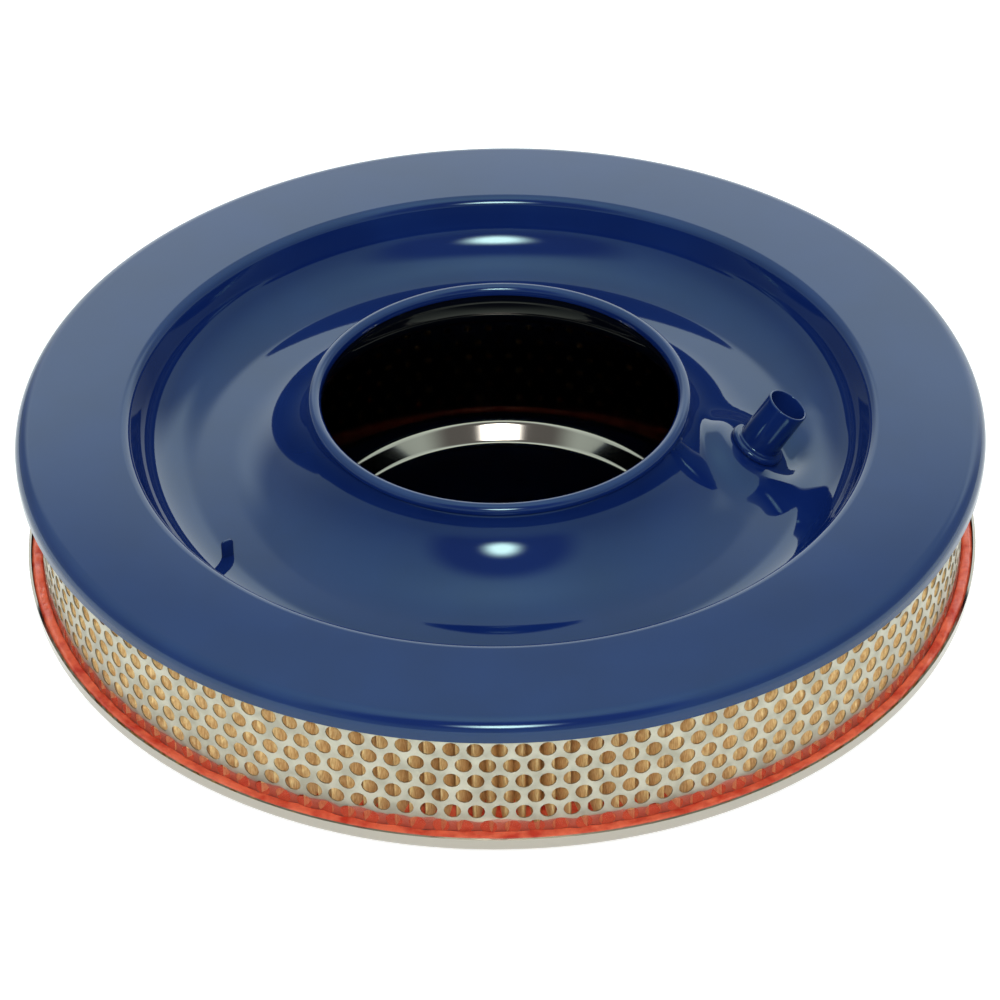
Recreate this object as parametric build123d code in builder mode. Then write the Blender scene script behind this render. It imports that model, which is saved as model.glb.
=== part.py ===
from build123d import *
import math
import os

os.makedirs("parts", exist_ok=True)

# A round air cleaner, lying on its lid with the pressed base and its neck on top.
# All sizes are in mm. The lowest face, the outside of the lid's plateau, is at height 0.

# Sheet metal
sheet = 0.9
curl_r = 2.4

# Base, outwards from the neck: bowl, step, annulus and flange
neck_bore_r = 65.4
bowl_width = 63.0
step_run = 6.8
annulus_width = 41.7
neck_r = neck_bore_r + sheet
bowl_r = neck_r + bowl_width
step_r = bowl_r + step_run
flange_r = step_r + annulus_width

# Heights of the base, all from the annulus
annulus_height = 66.3
annulus_rise = 1.75
bowl_depth = 20.1
bowl_rise = 3.0
neck_rise = 6.5
flange_drop = 8.0
step_height = annulus_height + annulus_rise
bowl_height = annulus_height - bowl_depth
neck_foot = bowl_height + bowl_rise
neck_top = annulus_height + neck_rise
flange_edge = annulus_height - flange_drop
flange_round = 5.8
step_round = 4.0
bowl_round = 9.7
neck_round = 12.5

# Lid: plateau in the middle, flat seat, turned-up lip
stud_hole_r = 3.5
plateau_margin = 4.0
plateau_r = neck_bore_r + plateau_margin
plateau_drop = 7.3
lid_margin = 1.5
lid_r = flange_r - lid_margin
lid_lip = 5.95
lid_lip_top = plateau_drop + lid_lip
lid_seat = plateau_drop + sheet
lid_rounds = [2.4, 1.6, 2.9]

# Filter element: two moulded seals, two screens, pleated paper
seal_gap = 0.05
lip_gap = 0.2
outer_lip = 4.4
inner_lip = 4.1
paper_depth = 19.2
seal_r = lid_r - sheet - lip_gap
outer_screen_r = seal_r - outer_lip
inner_screen_r = outer_screen_r - paper_depth
seal_bore_r = inner_screen_r - inner_lip
seal_web = 3.0
seal_lip = 4.8
seal_round = 2.6
crown_round = 4.0
screen_sheet = 0.6
screen_gap = 0.1
paper_gap = 0.1
pleat_count = 192
fold_step = 3.1

# Screen openings, far fewer and larger than the punched ones
gap_count = 30
outer_gap_rows = 3
inner_gap_rows = 1
gap_r = 6.0
gap_row_step = 14.0

# Vent tube on its tilted round pad
vent_rise = 1.6
vent_foot_x = neck_r + bowl_width / 2.25
vent_foot_z = bowl_height + vent_rise
vent_lean = 31.5
vent_r = 7.95
vent_wall = 0.9
vent_length = 22.0
vent_tail = 4.0
vent_gap = 0.05
collar_r = 10.5
collar_height = 2.4
pad_r = bowl_width / 4
dish_slope = 30.0
dish_height = 20.0
boss_slope = 20.0
boss_depth = pad_r

# Small lanced tab on the bowl floor
tab_inset = 16.2
tab_turn = 209.1
tab_x = (bowl_r - tab_inset) * math.cos(math.radians(tab_turn))
tab_y = (bowl_r - tab_inset) * math.sin(math.radians(tab_turn))
tab_width = 4.6
tab_height = 3.8
tab_root = 1.0

# Depth of the solids that the base is cut from
block_bore_r = 30.0
block_foot = vent_foot_z - 2 * pad_r


def beside(points, gap):
    """The same run of corners, moved to its left by a gap."""
    corners = [Vector(x, z) for x, z in points]
    moved = []
    for i, corner in enumerate(corners):
        before = corners[i] - corners[i - 1] if i > 0 else corners[1] - corners[0]
        after = corners[i + 1] - corner if i + 1 < len(corners) else before
        left_a = Vector(-before.Y, before.X).normalized()
        left_b = Vector(-after.Y, after.X).normalized()
        shift = (left_a + left_b) * (gap / (1 + left_a.dot(left_b)))
        moved.append((corner.X + shift.X, corner.Y + shift.Y))
    return moved


def ring_of_folds(high, low, count):
    """Corners of a closed zigzag between two radii."""
    corners = []
    for n in range(2 * count):
        r = high if n % 2 == 0 else low
        turn = math.pi * n / count
        corners.append((r * math.cos(turn), r * math.sin(turn)))
    return corners


# The outside of the base, from the flange's edge inwards to the neck
base_corners = [
    (flange_r, flange_edge),
    (flange_r, annulus_height),
    (step_r, step_height),
    (bowl_r, bowl_height),
    (neck_r, neck_foot),
    (neck_r, neck_top),
]
base_rounds = [flange_round, step_round, bowl_round, neck_round]
under_corners = beside(base_corners, sheet)
under_rounds = [
    flange_round - sheet,
    step_round - sheet,
    bowl_round + sheet,
    neck_round + sheet,
]

# The tilted pad that the vent tube stands on
lean = math.radians(vent_lean)
pad = Plane(
    origin=(vent_foot_x, 0, vent_foot_z),
    x_dir=(math.cos(lean), 0, -math.sin(lean)),
    z_dir=(math.sin(lean), 0, math.cos(lean)),
)
dish_tan = math.tan(math.radians(dish_slope))
boss_tan = math.tan(math.radians(boss_slope))
dish_under_r = pad_r + sheet / math.cos(math.radians(dish_slope)) - sheet * dish_tan
boss_under_r = pad_r - sheet / math.cos(math.radians(boss_slope)) + sheet * boss_tan

# Everything under the base's outer surface
with BuildPart() as under_base:
    with BuildSketch(Plane.XZ):
        with BuildLine():
            FilletPolyline(*under_corners, radius=under_rounds)
            Polyline(
                under_corners[-1],
                (neck_bore_r, neck_top + 5),
                (block_bore_r - 1, neck_top + 5),
                (block_bore_r - 1, block_foot - 1),
                (flange_r + 1, block_foot - 1),
                (flange_r + 1, flange_edge),
                under_corners[0],
            )
        make_face()
    revolve(axis=Axis.Z)
    with Locations(pad.offset(-sheet)):
        Cone(
            bottom_radius=boss_under_r + boss_depth * boss_tan,
            top_radius=boss_under_r,
            height=boss_depth,
            align=(Align.CENTER, Align.CENTER, Align.MAX),
        )
        Cone(
            bottom_radius=dish_under_r,
            top_radius=dish_under_r + (dish_height + sheet) * dish_tan,
            height=dish_height + sheet,
            align=(Align.CENTER, Align.CENTER, Align.MIN),
            mode=Mode.SUBTRACT,
        )

# Pressed base with its neck, curl and tab
with BuildPart() as base_pan:
    with BuildSketch(Plane.XZ):
        with BuildLine():
            FilletPolyline(*base_corners, radius=base_rounds)
            Polyline(
                base_corners[-1],
                (block_bore_r, neck_top),
                (block_bore_r, block_foot),
                (flange_r, block_foot),
                base_corners[0],
            )
        make_face()
    revolve(axis=Axis.Z)
    with Locations(pad):
        Cone(
            bottom_radius=pad_r + boss_depth * boss_tan,
            top_radius=pad_r,
            height=boss_depth,
            align=(Align.CENTER, Align.CENTER, Align.MAX),
        )
        Cone(
            bottom_radius=pad_r,
            top_radius=pad_r + dish_height * dish_tan,
            height=dish_height,
            align=(Align.CENTER, Align.CENTER, Align.MIN),
            mode=Mode.SUBTRACT,
        )
    add(under_base.part, mode=Mode.SUBTRACT)
    with Locations(pad):
        Cylinder(radius=vent_r + vent_gap, height=10, mode=Mode.SUBTRACT)
    with BuildSketch(Plane.XZ):
        with BuildLine():
            centre = (neck_bore_r + curl_r, neck_top)
            rolled = CenterArc(centre, curl_r, -105, 285)
            inner = CenterArc(centre, curl_r - sheet, -105, 285)
            Line(rolled @ 0, inner @ 0)
            Line(rolled @ 1, inner @ 1)
        make_face()
    revolve(axis=Axis.Z)
    with Locations(Location((tab_x, tab_y, bowl_height), (0, 0, tab_turn))):
        Box(
            tab_width,
            sheet,
            tab_height + 2 * tab_root,
            align=(Align.CENTER, Align.CENTER, Align.MIN),
        )
base_pan.part.label = "base_pan"
export_step(base_pan.part, "parts/base_pan.step")

# Vent tube with its collar
with BuildPart() as vent_tube:
    with BuildSketch(pad.offset(-vent_tail)):
        Circle(vent_r)
    extrude(amount=vent_tail + vent_length)
    with BuildSketch(pad):
        Circle(collar_r)
    extrude(amount=collar_height)
    collar_rim = vent_tube.edges().filter_by(GeomType.CIRCLE).sort_by(lambda e: -e.radius)[:2]
    fillet(ShapeList(collar_rim).sort_by(Axis.Z)[-1], radius=1.2)
    with BuildSketch(pad.offset(-vent_tail)):
        Circle(vent_r - vent_wall)
    extrude(amount=vent_tail + vent_length, mode=Mode.SUBTRACT)
vent_tube.part.label = "vent_tube"
export_step(vent_tube.part, "parts/vent_tube.step")

# Lid
lid_corners = [
    (stud_hole_r, 0),
    (plateau_r + sheet / 2, 0),
    (plateau_r + sheet, plateau_drop),
    (lid_r, plateau_drop),
    (lid_r, lid_lip_top),
]
lid_inside = beside(lid_corners, sheet)
inside_rounds = [lid_rounds[0] - sheet, lid_rounds[1] + sheet, lid_rounds[2] - sheet]
with BuildPart() as lid:
    with BuildSketch(Plane.XZ):
        with BuildLine():
            FilletPolyline(*lid_corners, radius=lid_rounds)
            FilletPolyline(*lid_inside, radius=inside_rounds)
            Line(lid_corners[0], lid_inside[0])
            Line(lid_corners[-1], lid_inside[-1])
        make_face()
    revolve(axis=Axis.Z)
lid.part.label = "lid"
export_step(lid.part, "parts/lid.step")

# Lower seal: a web with a lip on each side of the screens
screen_groove_r = outer_screen_r + screen_gap
inner_groove_r = inner_screen_r - screen_sheet - screen_gap
element_foot = lid_seat + seal_web
with BuildPart() as lower_seal:
    with BuildSketch(Plane.XZ):
        with BuildLine():
            Polyline(
                (seal_bore_r, lid_seat + seal_lip),
                (seal_bore_r, lid_seat),
                (seal_r - seal_round, lid_seat),
            )
            RadiusArc(
                (seal_r - seal_round, lid_seat),
                (seal_r, lid_seat + seal_round),
                -seal_round,
            )
            Polyline(
                (seal_r, lid_seat + seal_round),
                (seal_r, lid_seat + seal_lip),
                (screen_groove_r, lid_seat + seal_lip),
                (screen_groove_r, element_foot),
                (inner_groove_r, element_foot),
                (inner_groove_r, lid_seat + seal_lip),
                (seal_bore_r, lid_seat + seal_lip),
            )
        make_face()
    revolve(axis=Axis.Z)
lower_seal.part.label = "lower_seal"
export_step(lower_seal.part, "parts/lower_seal.step")

# Upper seal: its crown follows the slight slope under the annulus
slope = (step_height - annulus_height) / (flange_r - step_r)
crown_r = seal_r - crown_round
crown_edge = annulus_height + slope * (flange_r - crown_r) - sheet * math.hypot(1, slope) - seal_gap
crown_bore = crown_edge + slope * (crown_r - seal_bore_r)
element_top = crown_edge - seal_web
lip_foot = crown_edge - seal_lip
with BuildPart() as upper_seal:
    with BuildSketch(Plane.XZ):
        with BuildLine():
            Polyline(
                (seal_bore_r, lip_foot),
                (seal_bore_r, crown_bore),
                (crown_r, crown_edge),
            )
            RadiusArc(
                (crown_r, crown_edge),
                (seal_r, crown_edge - crown_round),
                crown_round,
            )
            Polyline(
                (seal_r, crown_edge - crown_round),
                (seal_r, lip_foot),
                (screen_groove_r, lip_foot),
                (screen_groove_r, element_top),
                (inner_groove_r, element_top),
                (inner_groove_r, lip_foot),
                (seal_bore_r, lip_foot),
            )
        make_face()
    revolve(axis=Axis.Z)
upper_seal.part.label = "upper_seal"
export_step(upper_seal.part, "parts/upper_seal.step")

# One opening of a screen, and the staggered rows of them
screen_height = element_top - element_foot
middle_row = element_foot + screen_height / 2
with BuildPart() as one_gap:
    with BuildSketch(Plane.YZ.offset(inner_screen_r - 5)):
        RegularPolygon(radius=gap_r, side_count=6)
    extrude(amount=outer_screen_r - inner_screen_r + 10)

with BuildPart() as outer_gaps:
    for row in range(outer_gap_rows):
        shift = (row - (outer_gap_rows - 1) / 2) * gap_row_step
        with Locations((0, 0, middle_row + shift)):
            with PolarLocations(0, gap_count, start_angle=180 / gap_count * (row % 2)):
                add(one_gap.part)

with BuildPart() as inner_gaps:
    for row in range(inner_gap_rows):
        shift = (row - (inner_gap_rows - 1) / 2) * gap_row_step
        with Locations((0, 0, middle_row + shift)):
            with PolarLocations(0, gap_count, start_angle=180 / gap_count * (row % 2)):
                add(one_gap.part)

# Outer screen
with BuildPart() as outer_screen:
    with BuildSketch(Plane.XY.offset(element_foot)):
        Circle(outer_screen_r)
        Circle(outer_screen_r - screen_sheet, mode=Mode.SUBTRACT)
    extrude(amount=screen_height)
    add(outer_gaps.part, mode=Mode.SUBTRACT)
outer_screen.part.label = "outer_screen"
export_step(outer_screen.part, "parts/outer_screen.step")

# Inner screen
with BuildPart() as inner_screen:
    with BuildSketch(Plane.XY.offset(element_foot)):
        Circle(inner_screen_r)
        Circle(inner_screen_r - screen_sheet, mode=Mode.SUBTRACT)
    extrude(amount=screen_height)
    add(inner_gaps.part, mode=Mode.SUBTRACT)
inner_screen.part.label = "inner_screen"
export_step(inner_screen.part, "parts/inner_screen.step")

# Pleated paper: one folded strip, closed into a ring
paper_out_r = outer_screen_r - screen_sheet - paper_gap
paper_in_r = inner_screen_r + paper_gap
with BuildPart() as pleated_paper:
    with BuildSketch(Plane.XY.offset(element_foot)):
        with BuildLine():
            Polyline(
                *ring_of_folds(paper_out_r, paper_in_r + fold_step, pleat_count),
                close=True,
            )
        make_face()
        with BuildLine():
            Polyline(
                *ring_of_folds(paper_out_r - fold_step, paper_in_r, pleat_count),
                close=True,
            )
        make_face(mode=Mode.SUBTRACT)
    extrude(amount=screen_height)
pleated_paper.part.label = "pleated_paper"
export_step(pleated_paper.part, "parts/pleated_paper.step")
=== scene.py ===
"""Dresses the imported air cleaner: enamelled base, punched screen over pleats, moulded seals, plated lid."""
import logging
import math
import random
from dataclasses import dataclass
from enum import Enum

import bpy
from mathutils import Matrix, Vector, noise


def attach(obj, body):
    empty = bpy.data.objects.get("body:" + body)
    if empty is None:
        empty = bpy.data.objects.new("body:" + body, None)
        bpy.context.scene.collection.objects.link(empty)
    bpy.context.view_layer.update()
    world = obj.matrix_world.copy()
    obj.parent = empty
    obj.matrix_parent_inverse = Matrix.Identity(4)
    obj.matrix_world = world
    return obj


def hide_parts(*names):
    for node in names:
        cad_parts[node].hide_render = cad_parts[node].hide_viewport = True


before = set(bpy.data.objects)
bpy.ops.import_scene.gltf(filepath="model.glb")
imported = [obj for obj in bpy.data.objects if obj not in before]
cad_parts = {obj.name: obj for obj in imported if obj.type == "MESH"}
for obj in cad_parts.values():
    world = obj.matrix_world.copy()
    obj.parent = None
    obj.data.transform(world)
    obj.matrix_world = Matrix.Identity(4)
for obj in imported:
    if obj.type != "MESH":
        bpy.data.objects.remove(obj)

LOG = logging.getLogger("air_cleaner")
MM = 0.001
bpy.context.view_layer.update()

# Where the leaning vent tube stands on the base, in mm, and how far it leans, in degrees.
VENT_FOOT = (94.3, 0.0, 47.8)
VENT_LEAN = 31.5

Point = tuple[float, float]
Triple = tuple[float, float, float]


class Way(Enum):
    """Which way the faces of an open sheet look."""

    UP = 1
    OUT = 2


def clear_selection() -> None:
    """Leaves nothing selected and no piece active."""
    if bpy.context.object and bpy.context.object.mode != "OBJECT":
        bpy.ops.object.mode_set(mode="OBJECT")
    bpy.ops.object.select_all(action="DESELECT")
    bpy.context.view_layer.objects.active = None


def pick(piece: bpy.types.Object) -> None:
    """Selects one piece alone and makes it active.

    Args:
        piece: The piece.
    """
    clear_selection()
    piece.select_set(True)
    bpy.context.view_layer.objects.active = piece


def rounded(corners: list[Point], rounds: list[float], run: float = 6.0, turn: float = 9.0) -> list[Point]:
    """Samples a run of corners with a rounding at each inner one.

    Args:
        corners: Radius and height of each corner, in mm.
        rounds: The rounding of each inner corner, in mm.
        run: Longest straight step, in mm.
        turn: Largest step along a rounding, in degrees.

    Returns:
        The points of the line, in mm.
    """
    spots = [Vector(corners[0])]
    for before, corner, after, r in zip(corners, corners[1:], corners[2:], rounds):
        corner = Vector(corner)
        back = (Vector(before) - corner).normalized()
        ahead = (Vector(after) - corner).normalized()
        half = back.angle(ahead) / 2
        reach = r / math.tan(half)
        centre = corner + (back + ahead).normalized() * (r / math.sin(half))
        first = corner + back * reach - centre
        sweep = math.pi - 2 * half
        sign = 1 if first.y * back.x - first.x * back.y > 0 else -1
        steps = max(2, math.ceil(math.degrees(sweep) / turn), math.ceil(r * sweep / run))
        for n in range(steps + 1):
            a = sign * sweep * n / steps
            spots.append(centre + Vector((
                first.x * math.cos(a) - first.y * math.sin(a),
                first.x * math.sin(a) + first.y * math.cos(a),
            )))
    spots.append(Vector(corners[-1]))
    line = [spots[0]]
    for spot in spots[1:]:
        gap = spot - line[-1]
        steps = max(1, math.ceil(gap.length / run))
        start = line[-1].copy()
        line += [start + gap * (n / steps) for n in range(1, steps + 1)]
    return [(p.x, p.y) for p in line]


def beside(corners: list[Point], gap: float) -> list[Point]:
    """Moves a run of corners to its left.

    Args:
        corners: Radius and height of each corner, in mm.
        gap: How far it moves, in mm.

    Returns:
        The moved corners, in mm.
    """
    spots = [Vector(c) for c in corners]
    moved = []
    for i, spot in enumerate(spots):
        before = spot - spots[i - 1] if i else spots[1] - spots[0]
        after = spots[i + 1] - spot if i + 1 < len(spots) else before
        left = Vector((-before.y, before.x)).normalized() + Vector((-after.y, after.x)).normalized()
        moved.append(tuple(spot + left * (2 * gap / left.length_squared)))
    return moved


def turned(name: str, line: list[Point], spans: list[tuple[float, int]], start: float = 0.0,
           closed: bool = False) -> bpy.types.Object:
    """Spins a profile round the upright axis, as on a lathe.

    Args:
        name: Name of the piece.
        line: Radius and height of each profile point, in mm.
        spans: Sweep in degrees and number of steps of each spin, one after the other.
        start: Azimuth of the profile, in degrees.
        closed: Whether the profile is a closed outline.

    Returns:
        The turned piece, its seam merged.
    """
    clear_selection()
    a = math.radians(start)
    spots = [Vector((r * math.cos(a), r * math.sin(a), z)) * MM for r, z in line]
    bpy.ops.mesh.primitive_plane_add(size=0.001, location=(0, 0, 0))
    piece = bpy.context.object
    piece.name = piece.data.name = name
    bpy.ops.object.mode_set(mode="EDIT")
    bpy.ops.mesh.merge(type="CENTER")
    bpy.ops.transform.translate(value=spots[0])
    for here, there in zip(spots, spots[1:] + (spots[:1] if closed else [])):
        bpy.ops.mesh.extrude_region_move(TRANSFORM_OT_translate={"value": there - here})
    bpy.ops.mesh.select_all(action="SELECT")
    bpy.ops.mesh.remove_doubles(threshold=0.000001)
    for sweep, steps in spans:
        bpy.ops.mesh.spin(steps=steps, angle=math.radians(sweep), center=(0, 0, 0), axis=(0, 0, 1))
    bpy.ops.mesh.select_all(action="SELECT")
    bpy.ops.mesh.remove_doubles(threshold=0.00001)
    bpy.ops.mesh.normals_make_consistent(inside=False)
    bpy.ops.object.mode_set(mode="OBJECT")
    return piece


def face_way(piece: bpy.types.Object, way: Way) -> None:
    """Turns an open sheet's faces so that they look up or out on the whole.

    Args:
        piece: The sheet.
        way: The way that most of its area shall look.
    """
    total = 0.0
    for face in piece.data.polygons:
        c, n = face.center, face.normal
        total += n.z * face.area if way is Way.UP else (n.x * c.x + n.y * c.y) * face.area
    if total < 0:
        pick(piece)
        bpy.ops.object.mode_set(mode="EDIT")
        bpy.ops.mesh.select_all(action="SELECT")
        bpy.ops.mesh.flip_normals()
        bpy.ops.object.mode_set(mode="OBJECT")


def apply(piece: bpy.types.Object, kind: str, **settings: object) -> None:
    """Adds a modifier and applies it.

    Args:
        piece: The piece that it works on.
        kind: The modifier's type name.
        settings: Its settings by name.
    """
    pick(piece)
    modifier = piece.modifiers.new(kind.lower(), kind)
    for key, value in settings.items():
        setattr(modifier, key, value)
    bpy.ops.object.modifier_apply(modifier=modifier.name)


def smooth(piece: bpy.types.Object, angle: float = 40.0) -> None:
    """Shades a piece smooth.

    Args:
        piece: The piece.
        angle: Edges sharper than this, in degrees, stay sharp.
    """
    pick(piece)
    bpy.ops.object.shade_smooth_by_angle(angle=math.radians(angle))
    clear_selection()


def joined(name: str, pieces: list[bpy.types.Object]) -> bpy.types.Object:
    """Joins pieces into one, which keeps every finish.

    Args:
        name: Name of the whole.
        pieces: The pieces, of which the first takes in the others.

    Returns:
        The whole.
    """
    pick(pieces[0])
    for piece in pieces[1:]:
        piece.select_set(True)
    bpy.ops.object.join()
    whole = bpy.context.object
    whole.name = whole.data.name = name
    clear_selection()
    return whole


def stand_for(piece: bpy.types.Object, node: str) -> None:
    """Lets a piece stand for a CAD node and ride with the object.

    Args:
        piece: The finished piece.
        node: The CAD node that it replaces.
    """
    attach(piece, "root")
    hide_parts(node)
    faces = sum(len(p.vertices) - 2 for p in piece.data.polygons)
    LOG.info("%s stands for %s, %d triangles", piece.name, node, faces)


def linear(code: str) -> tuple[float, float, float, float]:
    """Turns an sRGB hex colour into linear values.

    Args:
        code: The colour, as in "#0b1d52".

    Returns:
        Red, green, blue and an alpha of one.
    """
    parts = [int(code[i:i + 2], 16) / 255 for i in (1, 3, 5)]
    values = [c / 12.92 if c <= 0.04045 else ((c + 0.055) / 1.055) ** 2.4 for c in parts]
    return (*values, 1.0)


def add(tree: bpy.types.NodeTree, kind: str, inputs: dict | None = None, **settings: object) -> bpy.types.Node:
    """Adds a shader node.

    Args:
        tree: The node tree.
        kind: The node's type name.
        inputs: Value or socket for each input, by name or number.
        settings: Other settings of the node.

    Returns:
        The new node.
    """
    made = tree.nodes.new(kind)
    for key, value in settings.items():
        setattr(made, key, value)
    for key, value in (inputs or {}).items():
        if isinstance(value, bpy.types.NodeSocket):
            tree.links.new(value, made.inputs[key])
        else:
            made.inputs[key].default_value = value
    return made


def new_material(name: str) -> tuple[bpy.types.Material, bpy.types.NodeTree, bpy.types.Node]:
    """Starts a material with a lone principled shader.

    Args:
        name: Name of the material.

    Returns:
        The material, its node tree and its shader.
    """
    made = bpy.data.materials.new(name)
    made.use_nodes = True
    tree = made.node_tree
    tree.nodes.clear()
    shader = add(tree, "ShaderNodeBsdfPrincipled")
    add(tree, "ShaderNodeOutputMaterial", {"Surface": shader.outputs["BSDF"]})
    return made, tree, shader


def grain(tree: bpy.types.NodeTree, size: float, detail: float = 2.0, stretch: Point = (1.0, 1.0)) -> bpy.types.Node:
    """Adds noise of a real size.

    Args:
        tree: The node tree.
        size: Size of one spot, in mm.
        detail: Finer layers on top.
        stretch: Scale along the horizontal axes and along the upright one.

    Returns:
        The noise node.
    """
    place = add(tree, "ShaderNodeTexCoord")
    scaled = add(tree, "ShaderNodeMapping", {
        "Vector": place.outputs["Object"], "Scale": (stretch[0], stretch[0], stretch[1]),
    })
    return add(tree, "ShaderNodeTexNoise", {
        "Vector": scaled.outputs["Vector"], "Scale": 1 / (size * MM), "Detail": detail,
    })


def blend(tree: bpy.types.NodeTree, factor: bpy.types.NodeSocket, low: str, high: str,
          span: Point = (0.35, 0.65)) -> bpy.types.Node:
    """Adds a ramp between two sRGB colours.

    Args:
        tree: The node tree.
        factor: The socket that drives the ramp.
        low: Colour below the span, as sRGB hex.
        high: Colour above it.
        span: Where the ramp starts and ends.

    Returns:
        The ramp node.
    """
    ramp = add(tree, "ShaderNodeValToRGB", {"Fac": factor})
    ramp.color_ramp.elements[0].position = span[0]
    ramp.color_ramp.elements[1].position = span[1]
    ramp.color_ramp.elements[0].color = linear(low)
    ramp.color_ramp.elements[1].color = linear(high)
    return ramp


def relief(tree: bpy.types.NodeTree, height: bpy.types.NodeSocket, depth: float) -> bpy.types.NodeSocket:
    """Adds a bump of a real depth.

    Args:
        tree: The node tree.
        height: The pattern that it follows.
        depth: Its depth, in mm.

    Returns:
        The bumped normal.
    """
    return add(tree, "ShaderNodeBump", {
        "Height": height, "Strength": 1.0, "Distance": depth * MM,
    }).outputs["Normal"]


@dataclass(frozen=True)
class GlossEnamel:
    """Baked enamel on pressed steel: wet looking, with a faint orange peel.

    The sheen tints what the film mirrors. Sizes are in mm.
    """

    name: str = "baked_enamel"
    deep: str = "#0b1d52"
    tint: str = "#0d2158"
    sheen: tuple[float, float, float, float] = (0.66, 1.0, 0.95, 1.0)
    cloud_size: float = 35.0
    peel_size: float = 2.2
    peel_depth: float = 0.0015
    roughness: float = 0.035
    film_ior: float = 1.5

    def material(self) -> bpy.types.Material:
        """Makes the enamel: a hard glossy film over colour, so edges and walls mirror the studio.

        Returns:
            The material.
        """
        made, tree, shader = new_material(self.name)
        cloud = grain(tree, self.cloud_size)
        colour = blend(tree, cloud.outputs["Fac"], self.deep, self.tint)
        tree.links.new(colour.outputs["Color"], shader.inputs["Base Color"])
        peel = grain(tree, self.peel_size, 1.0)
        tree.links.new(relief(tree, peel.outputs["Fac"], self.peel_depth), shader.inputs["Normal"])
        shader.inputs["Roughness"].default_value = self.roughness
        shader.inputs["IOR"].default_value = self.film_ior
        shader.inputs["Specular Tint"].default_value = self.sheen
        return made


@dataclass(frozen=True)
class BrightPlate:
    """Nickel and chromium plating on drawn steel: a slightly warm mirror."""

    colour: str = "#aaa49a"
    haze_size: float = 14.0
    clearest: float = 0.05
    dullest: float = 0.11

    def material(self) -> bpy.types.Material:
        """Makes the plating: a mirror with a little uneven haze, as polished sheet has.

        Returns:
            The material.
        """
        made, tree, shader = new_material("bright_plating")
        shader.inputs["Base Color"].default_value = linear(self.colour)
        shader.inputs["Metallic"].default_value = 1.0
        haze = grain(tree, self.haze_size)
        rough = add(tree, "ShaderNodeMapRange", {
            "Value": haze.outputs["Fac"], "To Min": self.clearest, "To Max": self.dullest,
        })
        tree.links.new(rough.outputs["Result"], shader.inputs["Roughness"])
        return made


@dataclass(frozen=True)
class TinnedSheet:
    """Tinned steel sheet, punched: dull silver with a soft sheen and faint blotches."""

    name: str = "tinned_sheet"
    light: str = "#b9b5a5"
    dull: str = "#a09c8d"
    blotch: float = 7.0
    rolling_size: float = 0.5
    rolling_depth: float = 0.006
    roughness: float = 0.42

    def material(self) -> bpy.types.Material:
        """Makes the tinned sheet: metal, rough enough to show no clear mirror image.

        Returns:
            The material.
        """
        made, tree, shader = new_material(self.name)
        spots = grain(tree, self.blotch, 3.0)
        colour = blend(tree, spots.outputs["Fac"], self.dull, self.light)
        tree.links.new(colour.outputs["Color"], shader.inputs["Base Color"])
        rolled = grain(tree, self.rolling_size, 2.0, (1.0, 0.15))
        tree.links.new(relief(tree, rolled.outputs["Fac"], self.rolling_depth), shader.inputs["Normal"])
        shader.inputs["Metallic"].default_value = 0.9
        shader.inputs["Roughness"].default_value = self.roughness
        return made


@dataclass(frozen=True)
class FilterPaper:
    """Resin-soaked filter paper: warm, fibrous and dull."""

    pale: str = "#ffe2a6"
    deep: str = "#dcae70"
    fibre: float = 0.8
    fibre_depth: float = 0.05
    roughness: float = 0.8

    def material(self) -> bpy.types.Material:
        """Makes the paper: fibres along the folds, with the resin's warm tint.

        Returns:
            The material.
        """
        made, tree, shader = new_material("resin_paper")
        fibres = grain(tree, self.fibre, 4.0, (1.0, 0.3))
        colour = blend(tree, fibres.outputs["Fac"], self.deep, self.pale)
        tree.links.new(colour.outputs["Color"], shader.inputs["Base Color"])
        tree.links.new(relief(tree, fibres.outputs["Fac"], self.fibre_depth), shader.inputs["Normal"])
        shader.inputs["Roughness"].default_value = self.roughness
        return made


@dataclass(frozen=True)
class Plastisol:
    """Poured and baked plastisol: soft, orange-red, with a wet gloss and small lumps."""

    bright: str = "#e2694a"
    deep: str = "#bd3524"
    lump: float = 5.0
    lump_depth: float = 0.5
    roughness: float = 0.22
    sink: float = 0.2
    sink_reach: Triple = (1.0, 0.3, 0.15)
    sink_depth: float = 2.0

    def material(self) -> bpy.types.Material:
        """Makes the seal: light sinks in a little, and the skin shines where it is smooth.

        Returns:
            The material.
        """
        made, tree, shader = new_material("plastisol")
        lumps = grain(tree, self.lump, 3.0)
        colour = blend(tree, lumps.outputs["Fac"], self.deep, self.bright, (0.3, 0.6))
        tree.links.new(colour.outputs["Color"], shader.inputs["Base Color"])
        tree.links.new(relief(tree, lumps.outputs["Fac"], self.lump_depth), shader.inputs["Normal"])
        shader.inputs["Roughness"].default_value = self.roughness
        shader.inputs["Subsurface Weight"].default_value = self.sink
        shader.inputs["Subsurface Radius"].default_value = self.sink_reach
        shader.inputs["Subsurface Scale"].default_value = self.sink_depth * MM
        return made


@dataclass(frozen=True)
class PlastisolFilm:
    """The thin skin of plastisol that crept up the screen: see-through and orange-red."""

    colour: str = "#dd5a44"
    cover: float = 0.45
    roughness: float = 0.25
    lump: float = 3.0
    lump_depth: float = 0.3

    def material(self) -> bpy.types.Material:
        """Makes the film: glossy and half clear, so the punched holes show through it.

        Returns:
            The material.
        """
        made, tree, shader = new_material("plastisol_film")
        shader.inputs["Base Color"].default_value = linear(self.colour)
        shader.inputs["Roughness"].default_value = self.roughness
        shader.inputs["Alpha"].default_value = self.cover
        lumps = grain(tree, self.lump, 2.0)
        tree.links.new(relief(tree, lumps.outputs["Fac"], self.lump_depth), shader.inputs["Normal"])
        return made


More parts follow.
